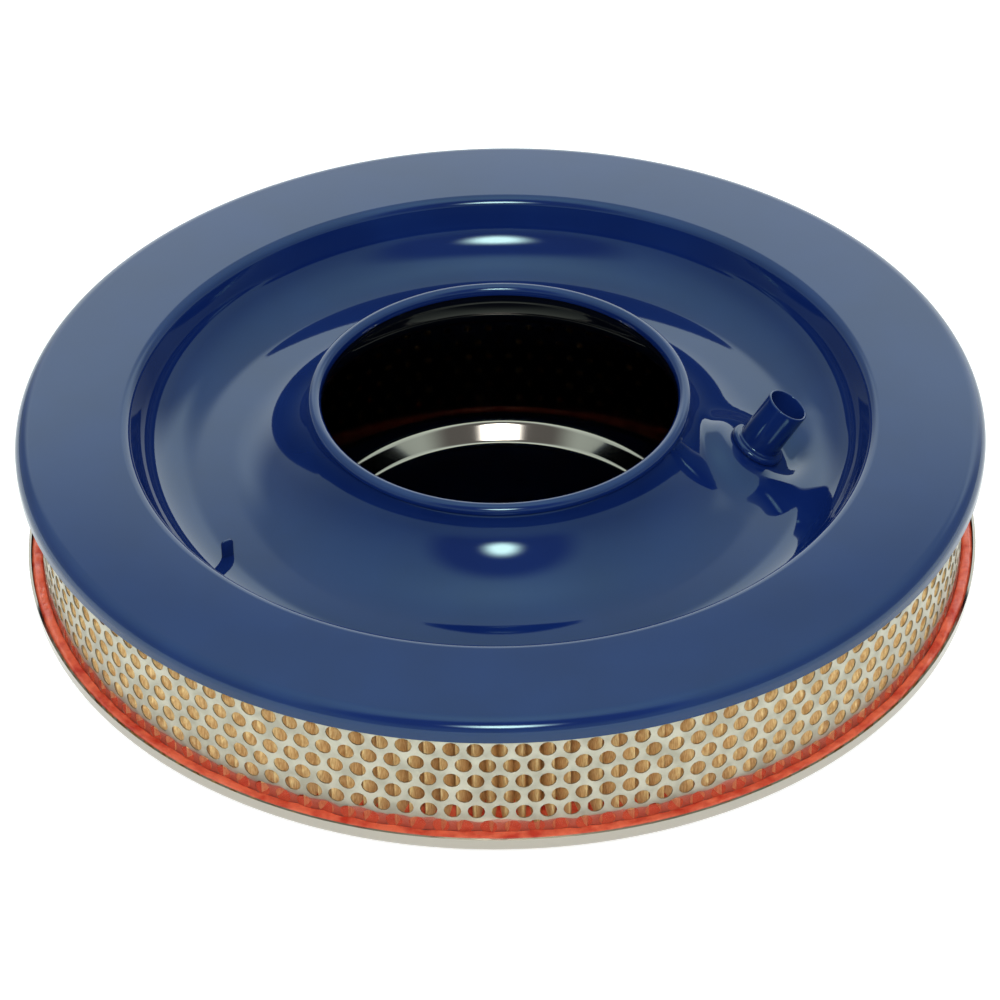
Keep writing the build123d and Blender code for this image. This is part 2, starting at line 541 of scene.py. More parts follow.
@dataclass
class PressedBase:
    """The blue base: flange, annulus, step, bowl, tilted pad, neck with its rolled curl, and a tab.

    Lengths are in mm and angles in degrees. Points of the section give radius and height.
    """

    sheet: float = 0.9
    flange_r: float = 177.8
    flange_edge: float = 58.3
    annulus: float = 66.3
    step_r: float = 136.1
    step_height: float = 68.05
    bowl: Point = (128.4, 43.3)
    horn_foot: Point = (81.8, 44.65)
    horn_throat: float = 64.5
    flange_round: float = 5.8
    step_round: float = 4.0
    bowl_round: float = 21.9
    horn_round: float = 37.0
    throat_round: float = 21.7
    neck_bore_r: float = 65.4
    neck_top: float = 72.8
    curl_r: float = 2.4
    curl_sweep: float = 285.0
    curl_steps: int = 32
    rib_height: float = 69.2
    rib: float = 0.35
    rib_reach: float = 1.3
    mesh_run: float = 1.3
    mesh_turn: float = 4.5
    foot: Triple = VENT_FOOT
    lean: float = VENT_LEAN
    pad_r: float = 15.75
    dish_slope: float = 30.0
    boss_slope: float = 48.0
    hole_r: float = 9.3
    pad_ring: Point = (68.0, 128.0)
    pad_reach: float = 34.0
    pad_ceiling: float = 66.0
    soft_rounds: int = 12
    # Reach and top of the painted shade inside the neck, in mm.
    painted_shade_r: float = 78.0
    painted_shade_top: float = 71.5
    tab: Point = (-98.8, -55.0)
    tab_width: float = 4.6
    tab_top: float = 51.0
    tab_round: float = 1.5
    tab_sink: float = 0.4

    def profile(self) -> list[Point]:
        """Gives the middle of the sheet, from the flange's edge inwards to the end of the curl.

        Returns:
            Radius and height of each point, in mm.
        """
        wall = self.neck_bore_r + self.sheet
        half = self.sheet / 2
        outside = [
            (self.flange_r, self.flange_edge),
            (self.flange_r, self.annulus),
            (self.step_r, self.step_height),
            self.bowl,
            self.horn_foot,
            (wall, self.horn_throat),
            (wall, self.neck_top - 0.5),
        ]
        rounds = [
            self.flange_round - half,
            self.step_round - half,
            self.bowl_round + half,
            self.horn_round + half,
            self.throat_round + half,
        ]
        line = self.thinned(rounded(beside(outside, half), rounds, self.mesh_run, self.mesh_turn))
        return self.ribbed(line) + self.curl()

    def thinned(self, fine: list[Point]) -> list[Point]:
        """Drops the points on straight runs outside the bowl, where nothing is pressed in later.

        Args:
            fine: The section's points.

        Returns:
            The points that stay.
        """
        line = fine[:1]
        for before, here, after in zip(fine, fine[1:], fine[2:]):
            bend = (Vector(here) - Vector(before)).angle(Vector(after) - Vector(here))
            if here[0] < self.bowl[0] or bend > 0.01:
                line.append(here)
        return line + fine[-1:]

    def ribbed(self, line: list[Point]) -> list[Point]:
        """Presses the shallow groove round the neck, just under the curl.

        Args:
            line: The section's points, the neck last.

        Returns:
            The points with a finer neck that holds the groove.
        """
        wall = self.neck_bore_r + self.sheet
        neck = [spot for spot in line if spot[0] > wall + 2 or spot[1] < self.rib_height - 2]
        throat = line[len(neck) - 1:]
        for (r, z), (r_next, z_next) in zip(throat, throat[1:]):
            for share in (0.25, 0.5, 0.75, 1.0):
                height = z + (z_next - z) * share
                off = min(1.0, abs(height - self.rib_height) / self.rib_reach)
                depth = self.rib * math.cos(off * math.pi / 2) ** 2
                neck.append((r + (r_next - r) * share - depth, height))
        return neck

    def curl(self) -> list[Point]:
        """Gives the curl that rolls outwards over the neck's end.

        Returns:
            Radius and height of each point, in mm.
        """
        centre = self.neck_bore_r + self.curl_r
        bend = self.curl_r - self.sheet / 2
        turns = [math.radians(180 - self.curl_sweep * n / self.curl_steps) for n in range(1, self.curl_steps + 1)]
        return [(centre + bend * math.cos(a), self.neck_top + bend * math.sin(a)) for a in turns]

    def off_cone(self, gap: Triple, slope: float) -> float:
        """Tells how far a point lies outside the cone that widens away from the pad.

        Args:
            gap: The point, measured from the middle of the pad, in mm.
            slope: How fast the cone widens, in degrees.

        Returns:
            The distance, negative inside the cone.
        """
        s, c = math.sin(math.radians(self.lean)), math.cos(math.radians(self.lean))
        dx, dy, dz = gap
        u, w = dx * c - dz * s, dx * s + dz * c
        return math.hypot(u, dy) - self.pad_r - abs(w) * math.tan(math.radians(slope))

    def pad_height(self, x: float, y: float, z: float) -> float:
        """Works out how high the pressed pad brings a point of the bowl.

        Args:
            x: Place across, in mm.
            y: Place along, in mm.
            z: Height of the plain bowl there, in mm.

        Returns:
            The height with the tilted pad pressed in, in mm.
        """
        dx, dy = x - self.foot[0], y - self.foot[1]
        base = self.foot[2] - self.sheet / 2 / math.cos(math.radians(self.lean))
        face = -dx * math.sin(math.radians(self.lean)) / math.cos(math.radians(self.lean))
        drop = z - base
        sunk = face < drop
        slope = self.dish_slope if sunk else self.boss_slope
        if self.off_cone((dx, dy, drop), slope) > 0:
            return z
        if self.off_cone((dx, dy, face), slope) <= 0:
            return base + face
        inner, outer = (drop, face)
        for _ in range(24):
            mid = (inner + outer) / 2
            if self.off_cone((dx, dy, mid), slope) > 0:
                outer = mid
            else:
                inner = mid
        return base + inner

    def press_pad(self, piece: bpy.types.Object) -> None:
        """Presses the tilted pad into the bowl, softens its edges and opens its hole.

        Args:
            piece: The turned shell, still a single sheet.
        """
        low, high = self.pad_ring
        near = []
        for vertex in piece.data.vertices:
            x, y, z = vertex.co / MM
            close = math.hypot(x - self.foot[0], y) < self.pad_reach and z < self.pad_ceiling
            if low < math.hypot(x, y) < high and close:
                vertex.co.z = self.pad_height(x, y, z) * MM
                near.append(vertex.index)
        pick(piece)
        bpy.ops.object.mode_set(mode="EDIT")
        bpy.ops.mesh.select_all(action="DESELECT")
        bpy.ops.object.mode_set(mode="OBJECT")
        for index in near:
            piece.data.vertices[index].select = True
        bpy.ops.object.mode_set(mode="EDIT")
        bpy.ops.mesh.vertices_smooth(factor=0.5, repeat=self.soft_rounds)
        bpy.ops.mesh.select_mode(type="FACE")
        bpy.ops.mesh.select_all(action="DESELECT")
        bpy.ops.object.mode_set(mode="OBJECT")
        axis = Vector((math.sin(math.radians(self.lean)), 0, math.cos(math.radians(self.lean))))
        for face in piece.data.polygons:
            gap = face.center / MM - Vector(self.foot)
            away = gap - axis * gap.dot(axis)
            face.select = away.length < self.hole_r and abs(gap.dot(axis)) < 6
        bpy.ops.object.mode_set(mode="EDIT")
        bpy.ops.mesh.delete(type="FACE")
        bpy.ops.mesh.select_mode(type="VERT")
        bpy.ops.object.mode_set(mode="OBJECT")

    def lanced_tab(self) -> bpy.types.Object:
        """Makes the small upright tab on the bowl's floor, its two upper corners rounded.

        Returns:
            The tab.
        """
        clear_selection()
        x, y = self.tab
        ground = self.bowl[1] - self.tab_sink
        bpy.ops.mesh.primitive_cube_add(size=1, location=(0, 0, 0))
        tab = bpy.context.object
        wide, thick, tall = self.tab_width, self.sheet, self.tab_top - self.bowl[1] + self.tab_sink
        for vertex in tab.data.vertices:
            vertex.co = Vector((vertex.co.x * wide, vertex.co.y * thick, (vertex.co.z + 0.5) * tall)) * MM
        bpy.ops.object.mode_set(mode="EDIT")
        bpy.ops.mesh.select_mode(type="EDGE")
        bpy.ops.mesh.select_all(action="DESELECT")
        bpy.ops.object.mode_set(mode="OBJECT")
        for edge in tab.data.edges:
            a, b = (tab.data.vertices[i].co for i in edge.vertices)
            edge.select = abs(a.x - b.x) < 1e-6 and abs(a.z - b.z) < 1e-6 and a.z > tall / 2 * MM
        bpy.ops.object.mode_set(mode="EDIT")
        bpy.ops.mesh.bevel(offset=self.tab_round * MM, segments=6)
        bpy.ops.mesh.select_mode(type="VERT")
        bpy.ops.object.mode_set(mode="OBJECT")
        apply(tab, "BEVEL", width=0.2 * MM, segments=2, limit_method="ANGLE", angle_limit=math.radians(50))
        stand = Matrix.Translation(Vector((x, y, ground)) * MM)
        tab.data.transform(stand @ Matrix.Rotation(math.atan2(y, x), 4, "Z"))
        return tab

    def paint_shade(self, shell: bpy.types.Object) -> None:
        """Gives the faces inside the neck, below its curl, the second finish: painted shade, a near black enamel
        where little light reaches.

        Args:
            shell: The base with its thickness.
        """
        for face in shell.data.polygons:
            c, n = face.center / MM, face.normal
            inward = n.x * c.x + n.y * c.y < 0 and n.z < 0.3
            if inward and math.hypot(c.x, c.y) < self.painted_shade_r and c.z < self.painted_shade_top:
                face.material_index = 1

    def build(self, enamel: bpy.types.Material, painted_shade: bpy.types.Material) -> bpy.types.Object:
        """Turns, presses and dresses the base, in finer steps round the pad than elsewhere.

        Args:
            enamel: The finish of the base.
            painted_shade: The painted shade inside the neck, a near black enamel.

        Returns:
            The base with its tab.
        """
        shell = turned("base_shell", self.profile(), [(52, 104), (308, 196)], -26.0)
        face_way(shell, Way.UP)
        self.press_pad(shell)
        apply(shell, "SOLIDIFY", thickness=self.sheet * MM, offset=0.0, use_even_offset=True)
        shell.data.materials.append(enamel)
        shell.data.materials.append(painted_shade)
        self.paint_shade(shell)
        tab = self.lanced_tab()
        tab.data.materials.append(enamel)
        whole = joined("pressed_base", [shell, tab])
        smooth(whole, 50)
        return whole


@dataclass
class VentTube:
    """The short leaning vent tube with its rounded collar. Lengths are in mm."""

    outside_r: float = 7.95
    wall: float = 0.9
    length: float = 22.0
    tail: float = 3.6
    collar_r: float = 10.5
    collar_height: float = 2.4
    collar_round: float = 1.3
    seat_gap: float = 0.05
    foot: Triple = VENT_FOOT
    lean: float = VENT_LEAN

    def build(self, enamel: bpy.types.Material) -> bpy.types.Object:
        """Turns the tube with its collar, then leans it onto the pad.

        Args:
            enamel: The tube's finish.

        Returns:
            The tube.
        """
        bore = self.outside_r - self.wall
        outline = rounded(
            [
                (self.outside_r, -self.tail),
                (self.outside_r, self.seat_gap),
                (self.collar_r, self.seat_gap),
                (self.collar_r, self.collar_height),
                (self.outside_r, self.collar_height),
                (self.outside_r, self.length),
                (bore, self.length),
                (bore, -self.tail),
            ],
            [0.02, 0.5, self.collar_round, 0.7, 0.4, 0.4],
            2.0,
            15.0,
        )
        tube = turned("vent_pipe", outline, [(360, 96)], 0.0, True)
        smooth(tube, 60)
        stand = Matrix.Translation(Vector(self.foot) * MM) @ Matrix.Rotation(math.radians(self.lean), 4, "Y")
        tube.data.transform(stand)
        tube.data.materials.append(enamel)
        return tube


@dataclass
class PlatedLid:
    """The lid that the object lies on: plateau, flat seat and turned-up lip. Lengths are in mm."""

    sheet: float = 0.9
    stud_hole_r: float = 3.5
    plateau_r: float = 69.4
    plateau_drop: float = 7.3
    step_run: float = 4.4
    step_round: float = 3.4
    outside_r: float = 176.3
    lip_top: float = 13.25
    lip_round: float = 2.9

    def build(self, plate: bpy.types.Material) -> bpy.types.Object:
        """Turns the lid from the middle of its sheet.

        Args:
            plate: The lid's finish.

        Returns:
            The lid.
        """
        half = self.sheet / 2
        outside = [
            (self.stud_hole_r, 0),
            (self.plateau_r - self.step_run / 2, 0),
            (self.plateau_r + self.sheet + self.step_run / 2, self.plateau_drop),
            (self.outside_r, self.plateau_drop),
            (self.outside_r, self.lip_top),
        ]
        rounds = [self.step_round, self.step_round, self.lip_round - half]
        line = rounded(beside(outside, half), rounds, 8.0)
        lid = turned("plated_lid", line, [(360, 240)])
        face_way(lid, Way.UP)
        apply(lid, "SOLIDIFY", thickness=self.sheet * MM, offset=0.0, use_even_offset=True)
        lid.data.materials.append(plate)
        smooth(lid, 50)
        return lid


@dataclass
class PunchedScreen:
    """A punched sheet rolled into a ring, its holes in staggered rows. Lengths are in mm."""

    name: str = "punched_screen"
    outside_r: float = 170.8
    sheet: float = 0.4
    foot: float = 11.2
    top: float = 62.4
    first_row: float = 14.4
    row_step: float = 6.93
    rows: int = 7
    count: int = 130
    hole_r: float = 3.05
    phase: float = 0.7

    def cell(self) -> bpy.types.Object:
        """Makes one hole with the six-sided piece of sheet round it, flat.

        Returns:
            The cell, round the origin.
        """
        clear_selection()
        pitch = 2 * math.pi * self.outside_r / self.count
        bpy.ops.mesh.primitive_circle_add(vertices=12, radius=self.hole_r * MM, location=(0, 0, 0))
        cell = bpy.context.object
        bpy.ops.object.mode_set(mode="EDIT")
        bpy.ops.mesh.extrude_region()
        bpy.ops.object.mode_set(mode="OBJECT")
        high, low = 2 * self.row_step / 3, self.row_step / 3
        corners = [Vector((pitch / 2, low)), Vector((0, high)), Vector((-pitch / 2, low)),
                   Vector((-pitch / 2, -low)), Vector((0, -high)), Vector((pitch / 2, -low))]
        edge = [corners[5].lerp(corners[0], 0.5)]
        for n in range(6):
            edge += [corners[n], corners[n].lerp(corners[(n + 1) % 6], 0.5)]
        moving = [v for v in cell.data.vertices if v.select]
        for vertex in moving:
            turn = round(math.degrees(math.atan2(vertex.co.y, vertex.co.x)) / 30) % 12
            vertex.co = Vector((edge[turn].x, edge[turn].y, 0)) * MM
        return cell

    def build(self, metal: bpy.types.Material) -> bpy.types.Object:
        """Repeats the hole over the sheet, closes its edges and rolls it up.

        Args:
            metal: The screen's finish.

        Returns:
            The screen.
        """
        pitch = 2 * math.pi * self.outside_r / self.count * MM
        step = self.row_step * MM
        screen = self.cell()
        screen.name = screen.data.name = self.name
        flat = {"use_relative_offset": False, "use_constant_offset": True}
        apply(screen, "ARRAY", count=2, constant_offset_displace=(pitch / 2, step, 0), **flat)
        apply(screen, "ARRAY", count=(self.rows + 1) // 2, constant_offset_displace=(0, 2 * step, 0), **flat)
        apply(screen, "ARRAY", count=self.count, constant_offset_displace=(pitch, 0, 0), **flat)
        limit = (self.rows - 0.5) * step
        pick(screen)
        bpy.ops.object.mode_set(mode="EDIT")
        bpy.ops.mesh.select_all(action="SELECT")
        bpy.ops.mesh.remove_doubles(threshold=0.00001)
        bpy.ops.mesh.select_all(action="DESELECT")
        bpy.ops.object.mode_set(mode="OBJECT")
        for vertex in screen.data.vertices:
            vertex.select = vertex.co.y > limit + step / 3
        bpy.ops.object.mode_set(mode="EDIT")
        bpy.ops.mesh.delete(type="VERT")
        bpy.ops.object.mode_set(mode="OBJECT")
        low = -self.row_step / 3 * MM * 0.99
        high = (self.rows - 1 + 1 / 3) * step * 0.999
        for vertex in screen.data.vertices:
            z = vertex.co.y
            if z < low:
                z = (self.foot - self.first_row) * MM
            if z > high:
                z = (self.top - self.first_row) * MM
            turn = vertex.co.x / (self.outside_r * MM) + math.radians(self.phase - 90)
            r = (self.outside_r - self.sheet / 2) * MM
            vertex.co = Vector((r * math.cos(turn), r * math.sin(turn), z + self.first_row * MM))
        pick(screen)
        bpy.ops.object.mode_set(mode="EDIT")
        bpy.ops.mesh.select_all(action="SELECT")
        bpy.ops.mesh.remove_doubles(threshold=0.00005)
        bpy.ops.mesh.normals_make_consistent(inside=False)
        bpy.ops.object.mode_set(mode="OBJECT")
        face_way(screen, Way.OUT)
        apply(screen, "SOLIDIFY", thickness=self.sheet * MM, offset=0.0)
        screen.data.materials.append(metal)
        smooth(screen, 35)
        return screen


@dataclass
class PleatedPaper:
    """One strip of filter paper, folded back and forth and closed into a ring."""

    outside_r: float = 170.0
    inside_r: float = 151.8
    foot: float = 11.2
    top: float = 62.4
    pleats: int = 192
    paper: float = 0.5
    bands: int = 4

    def build(self, paper: bpy.types.Material) -> bpy.types.Object:
        """Folds the strip, with small differences from fold to fold, and gives it its thickness.

        Args:
            paper: The paper's finish.

        Returns:
            The ring of paper.
        """
        clear_selection()
        dice = random.Random(7)
        bpy.ops.mesh.primitive_circle_add(vertices=self.pleats * 6, radius=0.16, location=(0, 0, 0))
        strip = bpy.context.object
        strip.name = strip.data.name = "folded_paper"
        bpy.ops.object.mode_set(mode="EDIT")
        for _ in range(self.bands):
            bpy.ops.mesh.extrude_region_move(TRANSFORM_OT_translate={"value": (0, 0, 0.001)})
        bpy.ops.object.mode_set(mode="OBJECT")
        shifts = [dice.uniform(-0.16, 0.16) for _ in range(self.pleats * 2)]
        slants = [dice.uniform(-0.12, 0.12) for _ in range(self.pleats * 2)]
        rings = self.pleats * 6
        half = self.paper / 2
        for index, vertex in enumerate(strip.data.vertices):
            spot = index % rings
            fold, part = divmod(spot, 3)
            level = round(vertex.co.z / 0.001) / self.bands
            outer = fold % 2 == 0
            here = self.outside_r - half - 0.2 if outer else self.inside_r + half + 0.2
            there = self.inside_r + half + 0.2 if outer else self.outside_r - half - 0.2
            nudge = shifts[fold] + slants[fold] * (level - 0.5)
            follow = shifts[(fold + 1) % len(shifts)] + slants[(fold + 1) % len(shifts)] * (level - 0.5)
            share = (0.0, 0.08, 0.92)[part]
            round_off = (0.0, 0.16, 0.84)[part]
            r = here + (there - here) * share
            turn = (fold + round_off + nudge * (1 - round_off) + follow * round_off) * math.pi / self.pleats
            z = self.foot + (self.top - self.foot) * level
            vertex.co = Vector((r * math.cos(turn), r * math.sin(turn), z)) * MM
        pick(strip)
        bpy.ops.object.mode_set(mode="EDIT")
        bpy.ops.mesh.select_all(action="SELECT")
        bpy.ops.mesh.normals_make_consistent(inside=False)
        bpy.ops.object.mode_set(mode="OBJECT")
        apply(strip, "SOLIDIFY", thickness=self.paper * MM, offset=0.0)
        strip.data.materials.append(paper)
        smooth(strip, 60)
        return strip


@dataclass
class MouldedSeal:
    """One poured end of the element, with the thin skin that crept along the screen.

    The crown is the height of its flat end, the lip and the skin are how far it reaches along the screen, in mm.
    """

    name: str
    lip: float
    skin: float
    crown: float
    slope: float = 0.0
    outside_r: float = 175.2
    bore_r: float = 147.5
    screen_r: float = 170.8
    inner_r: float = 151.0
    web_height: float = 3.0
    round_r: float = 2.6
    lump_height: float = 0.7
    lump_drop: float = 0.25
    skin_wave: float = 1.4

    @property
    def up(self) -> int:
        """Tells whether the lip stands above the crown (1) or hangs below it (-1)."""
        return 1 if self.lip > self.crown else -1

    def outline(self) -> list[Point]:
        """Gives the seal's closed outline, with the web's flat side at the crown.

        Returns:
            Radius and height of each point, in mm.
        """
        up = self.up
        edge = self.crown
        bore_edge = edge + self.slope * (self.outside_r - self.round_r - self.bore_r)
        corners = [
            (self.screen_r - 1.5, edge + up * self.web_height),
            (self.screen_r + 0.15, edge + up * self.web_height),
            (self.screen_r + 0.15, self.lip),
            (self.outside_r, self.lip),
            (self.outside_r, edge),
            (self.bore_r, bore_edge),
            (self.bore_r, self.lip),
            (self.inner_r - 0.1, self.lip),
            (self.inner_r - 0.1, edge + up * self.web_height),
            (self.inner_r + 1.5, edge + up * self.web_height),
        ]
        return rounded(corners, [0.1, 0.9, 1.5, self.round_r, 1.2, 1.2, 0.9, 0.1], 9.0, 18.0)

    def ripple(self, seal: bpy.types.Object) -> None:
        """Gives the outer lip the uneven edge of poured plastisol.

        Args:
            seal: The turned seal.
        """
        for vertex in seal.data.vertices:
            x, y, z = vertex.co / MM
            r = math.hypot(x, y)
            if r > self.screen_r and abs(z - self.crown) > 2.5:
                coarse = noise.noise(Vector((x * 0.16, y * 0.16, 0.3)))
                lump = coarse + 0.5 * noise.noise(Vector((x * 0.5, y * 0.5, 2)))
                vertex.co.z += self.up * (lump * self.lump_height - self.lump_drop) * MM
                swell = 1 - max(0.0, lump) * 0.25 / r
                vertex.co.x *= swell
                vertex.co.y *= swell

    def crept_skin(self) -> bpy.types.Object:
        """Makes the thin skin on the outside of the screen, with a wavy far edge.

        Returns:
            The skin, a single sheet.
        """
        line = [
            (self.screen_r + 0.12, self.lip - self.up * 1.0),
            (self.screen_r + 0.1, self.lip + self.up * 1.2),
            (self.screen_r + 0.08, self.skin - self.up * 0.8),
            (self.screen_r + 0.05, self.skin),
        ]
        skin = turned(self.name + "_skin", line, [(360, 420)])
        for vertex in skin.data.vertices:
            x, y, z = vertex.co / MM
            if (z - self.lip) / (self.skin - self.lip) > 0.5:
                coarse = noise.noise(Vector((x * 0.12, y * 0.12, 5.0)))
                wave = coarse + 0.6 * noise.noise(Vector((x * 0.45, y * 0.45, 9.0)))
                vertex.co.z += wave * self.skin_wave * MM
        face_way(skin, Way.OUT)
        return skin

    def build(self, rubber: bpy.types.Material, film: bpy.types.Material) -> bpy.types.Object:
        """Turns the seal, gives its lip its uneven edge and adds the skin on the screen.

        Args:
            rubber: The seal's finish.
            film: The skin's finish.

        Returns:
            The seal with its skin.
        """
        seal = turned(self.name, self.outline(), [(360, 300)], 0.0, True)
        self.ripple(seal)
        seal.data.materials.append(rubber)
        skin = self.crept_skin()
        skin.data.materials.append(film)
        whole = joined(self.name, [seal, skin])
        smooth(whole, 50)
        return whole


@dataclass
class Studio:
    """A pale floor, a light tent with a soft flash, one lamp that is never mirrored, and the camera.

    Places are in m, angles in degrees. Each pair of angles says where a part of the tent is whole and where it ends.
    """

    camera_place: Triple = (0.0, -1.36837, 1.08248)
    camera_turn: Triple = (52.29126, 0.75275, -0.56228)
    lens: float = 167.373
    lamp_place: Triple = (0.0, -1.3, 1.1)
    lamp_aim: Triple = (0.0, 0.0, 0.04)
    lamp_size: float = 0.15
    lamp_power: float = 6.5
    floor_colour: str = "#e4e4e4"
    floor_glow: float = 0.55
    tent_level: float = 2.0
    cloth_colour: Triple = (0.85, 1.0, 0.97)
    cloth_stops: tuple[Point, ...] = (
        (-90, 0.3), (0, 0.32), (20, 0.3), (30, 0.36), (45, 0.49), (60, 0.57), (70, 0.65), (80, 0.76), (88, 0.83),
    )
    wall_colour: tuple[float, float, float, float] = (0.95, 1.0, 1.02, 1.0)
    wall_turn: float = 8.0
    wall_reach: Point = (24.0, 44.0)
    wall_height: Point = (34.0, 43.0)
    opening_height: float = 38.0
    opening_reach: Point = (25.0, 41.0)
    opening_foot: Point = (30.0, 13.0)
    opening_level: float = 0.1
    flash_height: float = 39.0
    flash_reach: Point = (3.0, 16.0)
    flash_focus: float = 3.0
    flash_level: float = 12.0

    def camera(self) -> None:
        """Places the camera at the photograph's angle."""
        data = bpy.data.cameras.new("camera")
        data.lens = self.lens
        data.sensor_width = 36.0
        data.clip_start = 0.05
        data.clip_end = 50
        made = bpy.data.objects.new("camera", data)
        made.location = self.camera_place
        made.rotation_euler = [math.radians(a) for a in self.camera_turn]
        bpy.context.scene.collection.objects.link(made)
        bpy.context.scene.camera = made

    def lamp(self) -> None:
        """Adds the round front lamp, aimed at the object and hidden from glossy surfaces."""
        data = bpy.data.lights.new("soft_front", "AREA")
        data.shape = "DISK"
        data.size = self.lamp_size
        data.energy = self.lamp_power
        made = bpy.data.objects.new("soft_front", data)
        made.location = self.lamp_place
        aim = Vector(self.lamp_aim) - Vector(self.lamp_place)
        made.rotation_euler = aim.to_track_quat("-Z", "Y").to_euler()
        made.visible_glossy = False
        made.visible_camera = False
        bpy.context.scene.collection.objects.link(made)

    @staticmethod
    def seen(tree: bpy.types.NodeTree, *rays: str) -> bpy.types.NodeSocket:
        """Tells shaders which rays look at them.

        Args:
            tree: The node tree.
            rays: Names of the Light Path outputs.

        Returns:
            One for any of those rays, nothing for the others.
        """
        path = add(tree, "ShaderNodeLightPath")
        found = path.outputs[rays[0]]
        for ray in rays[1:]:
            found = add(tree, "ShaderNodeMath", {0: found, 1: path.outputs[ray]}, operation="MAXIMUM").outputs[0]
        return found

    def floor(self) -> None:
        """Lays the pale floor, white to the camera and in mirrors, that keeps the object's shadow."""
        clear_selection()
        bpy.ops.mesh.primitive_plane_add(size=12, location=(0, 0, -0.0005))
        floor = bpy.context.object
        floor.name = floor.data.name = "floor"
        made, tree, shader = new_material("pale_floor")
        shader.inputs["Base Color"].default_value = linear(self.floor_colour)
        shader.inputs["Roughness"].default_value = 0.9
        shader.inputs["Specular IOR Level"].default_value = 0.0
        glow = add(tree, "ShaderNodeEmission", {"Color": (1, 1, 1, 1), "Strength": self.floor_glow})
        both = add(tree, "ShaderNodeAddShader", {0: shader.outputs["BSDF"], 1: glow.outputs["Emission"]})
        clear = self.seen(tree, "Is Camera Ray", "Is Transmission Ray", "Is Glossy Ray")
        mix = add(tree, "ShaderNodeMixShader", {0: clear, 1: shader.outputs["BSDF"], 2: both.outputs["Shader"]})
        out = next(n for n in tree.nodes if n.type == "OUTPUT_MATERIAL")
        tree.links.new(mix.outputs["Shader"], out.inputs["Surface"])
        floor.data.materials.append(made)

    def world(self) -> None:
        """Makes white surroundings for the camera, and the light tent that lights the object and is mirrored."""
        world = bpy.data.worlds.new("studio")
        bpy.context.scene.world = world
        world.use_nodes = True
        tree = world.node_tree
        tree.nodes.clear()
        room = add(tree, "ShaderNodeBackground", {"Color": self.tent(tree), "Strength": self.tent_level})
        plain = add(tree, "ShaderNodeBackground", {"Color": (1, 1, 1, 1), "Strength": 1.0})
        clear = self.seen(tree, "Is Camera Ray", "Is Transmission Ray")
        both = add(tree, "ShaderNodeMixShader", {0: clear, 1: room.outputs[0], 2: plain.outputs[0]})
        add(tree, "ShaderNodeOutputWorld", {"Surface": both.outputs[0]})

    def tent(self, tree: bpy.types.NodeTree) -> bpy.types.NodeSocket:
        """Shapes the tent by direction: cloth, bright back wall, dark opening round the camera, and the flash.

        Args:
            tree: The world's node tree.

        Returns:
            The tent's colour, which the world multiplies by its level.
        """
        way = add(tree, "ShaderNodeTexCoord").outputs["Generated"]
        parts = add(tree, "ShaderNodeSeparateXYZ", {0: way})
        height = self.sum_up(tree, "ARCSINE", parts.outputs["Z"])
        level = add(tree, "ShaderNodeMapRange", {
            "Value": height, "From Min": -math.pi / 2, "From Max": math.pi / 2,
        })
        cloth = add(tree, "ShaderNodeValToRGB", {"Fac": level.outputs["Result"]})
        self.fill(cloth, self.cloth_stops)
        around = self.sum_up(tree, "ARCTAN2", parts.outputs["X"], parts.outputs["Y"])
        aside = self.sum_up(tree, "ABSOLUTE", self.sum_up(tree, "SUBTRACT", around, math.radians(self.wall_turn)))
        wall = self.sum_up(
            tree, "MULTIPLY", self.fade(tree, aside, *self.wall_reach), self.fade(tree, height, *self.wall_height),
        )
        room = add(tree, "ShaderNodeMixRGB", {0: wall, 1: cloth.outputs["Color"], 2: self.wall_colour})
        near = self.fade(tree, self.angle_to(tree, way, self.opening_height), *self.opening_reach)
        hole = self.sum_up(tree, "MULTIPLY", near, self.fade(tree, height, *self.opening_foot))
        dark = add(tree, "ShaderNodeMixRGB", {
            0: hole, 1: room.outputs["Color"], 2: (*[self.opening_level] * 3, 1.0),
        })
        flash = self.fade(tree, self.angle_to(tree, way, self.flash_height), *self.flash_reach)
        core = self.sum_up(tree, "POWER", flash, self.flash_focus)
        return add(tree, "ShaderNodeMixRGB", {
            0: 1.0, 1: dark.outputs["Color"], 2: self.sum_up(tree, "MULTIPLY", core, self.flash_level),
        }, blend_type="ADD").outputs["Color"]

    @staticmethod
    def sum_up(tree: bpy.types.NodeTree, kind: str, *terms: bpy.types.NodeSocket | float) -> bpy.types.NodeSocket:
        """Does one sum on sockets or plain numbers and returns its outcome."""
        return add(tree, "ShaderNodeMath", dict(enumerate(terms)), operation=kind).outputs[0]

    @staticmethod
    def angle_to(tree: bpy.types.NodeTree, way: bpy.types.NodeSocket, height: float) -> bpy.types.NodeSocket:
        """Measures the angle between a direction and one on the camera's side.

        Args:
            tree: The world's node tree.
            way: The direction.
            height: Elevation of the one on the camera's side, in degrees.

        Returns:
            The angle in radians.
        """
        rise = math.radians(height)
        aim = (0, -math.cos(rise), math.sin(rise))
        near = add(tree, "ShaderNodeVectorMath", {0: way, 1: aim}, operation="DOT_PRODUCT")
        return Studio.sum_up(tree, "ARCCOSINE", near.outputs["Value"])

    @staticmethod
    def fade(tree: bpy.types.NodeTree, angle: bpy.types.NodeSocket, full: float, gone: float) -> bpy.types.NodeSocket:
        """Fades softly from one to nothing.

        Args:
            tree: The world's node tree.
            angle: The angle that it follows, in radians.
            full: Where it is still one, in degrees.
            gone: Where nothing is left, in degrees.

        Returns:
            The share that is left.
        """
        return add(tree, "ShaderNodeMapRange", {
            "Value": angle, "From Min": math.radians(gone), "From Max": math.radians(full),
        }, interpolation_type="SMOOTHSTEP").outputs["Result"]

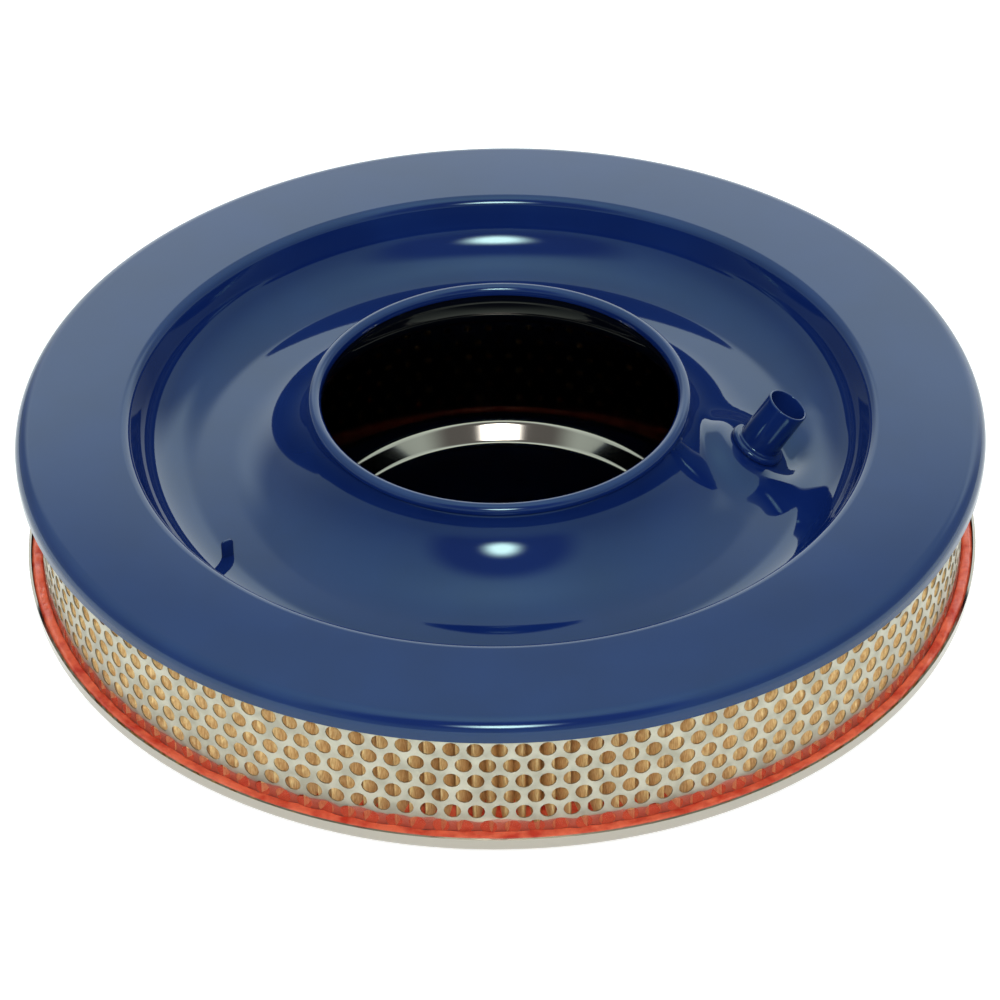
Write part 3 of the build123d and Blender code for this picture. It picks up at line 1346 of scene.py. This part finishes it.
    def fill(self, ramp: bpy.types.Node, stops: tuple[Point, ...]) -> None:
        """Fills a ramp with the cloth's colour at several heights.

        Args:
            ramp: The ramp node, which runs from straight down to straight up.
            stops: Elevation in degrees and level of each step, from the lowest up.
        """
        steps = ramp.color_ramp.elements
        while len(steps) > 1:
            steps.remove(steps[-1])
        for n, (degrees, level) in enumerate(stops):
            place = (degrees + 90) / 180
            step = steps[0] if n == 0 else steps.new(place)
            step.position = place
            step.color = (*(level * c for c in self.cloth_colour), 1.0)

    def build(self) -> None:
        """Sets up floor, surroundings, lamp and camera."""
        self.floor()
        self.world()
        self.lamp()
        self.camera()
        bpy.context.scene.view_settings.view_transform = "Standard"


def main() -> None:
    """Builds each sub-assembly in order, then the studio."""
    logging.basicConfig(level=logging.INFO, format="%(message)s")
    clear_selection()
    enamel = GlossEnamel().material()
    plate = BrightPlate().material()
    tinned = TinnedSheet().material()
    paper = FilterPaper().material()
    rubber = Plastisol().material()
    film = PlastisolFilm().material()
    # Both dark finishes are painted shade, matched to the black inside the neck of the photograph: the neck's inner
    # faces and the inner screen are darkened, and their reflections dimmed, where little light reaches.
    # Painted shade: the same blue enamel darkened to near black, with dimmed reflections, for the inside of the neck.
    painted_shade = GlossEnamel("painted_shade_enamel", "#04060f", "#05070f", (0.1, 0.15, 0.15, 1.0))
    stand_for(PressedBase().build(enamel, painted_shade.material()), "base_pan")
    stand_for(VentTube().build(enamel), "vent_tube")
    stand_for(PlatedLid().build(plate), "lid")
    stand_for(PunchedScreen().build(tinned), "outer_screen")
    inner = PunchedScreen(name="inner_punched_screen", outside_r=151.6, count=116, phase=0.0, hole_r=1.5)
    # Painted shade: the inner screen's tinned steel darkened to navy, for the shade inside the element.
    painted_shade_tin = TinnedSheet(name="painted_shade_tinned_sheet", light="#23294a", dull="#181d38")
    stand_for(inner.build(painted_shade_tin.material()), "inner_screen")
    stand_for(PleatedPaper().build(paper), "pleated_paper")
    lower = MouldedSeal("poured_seal_lower", lip=13.0, skin=17.2, crown=8.2)
    stand_for(lower.build(rubber, film), "lower_seal")
    upper = MouldedSeal("poured_seal_upper", lip=60.7, skin=56.2, crown=65.4, slope=0.042, round_r=4.0)
    stand_for(upper.build(rubber, film), "upper_seal")
    Studio().build()


if __name__ == "__main__":
    main()
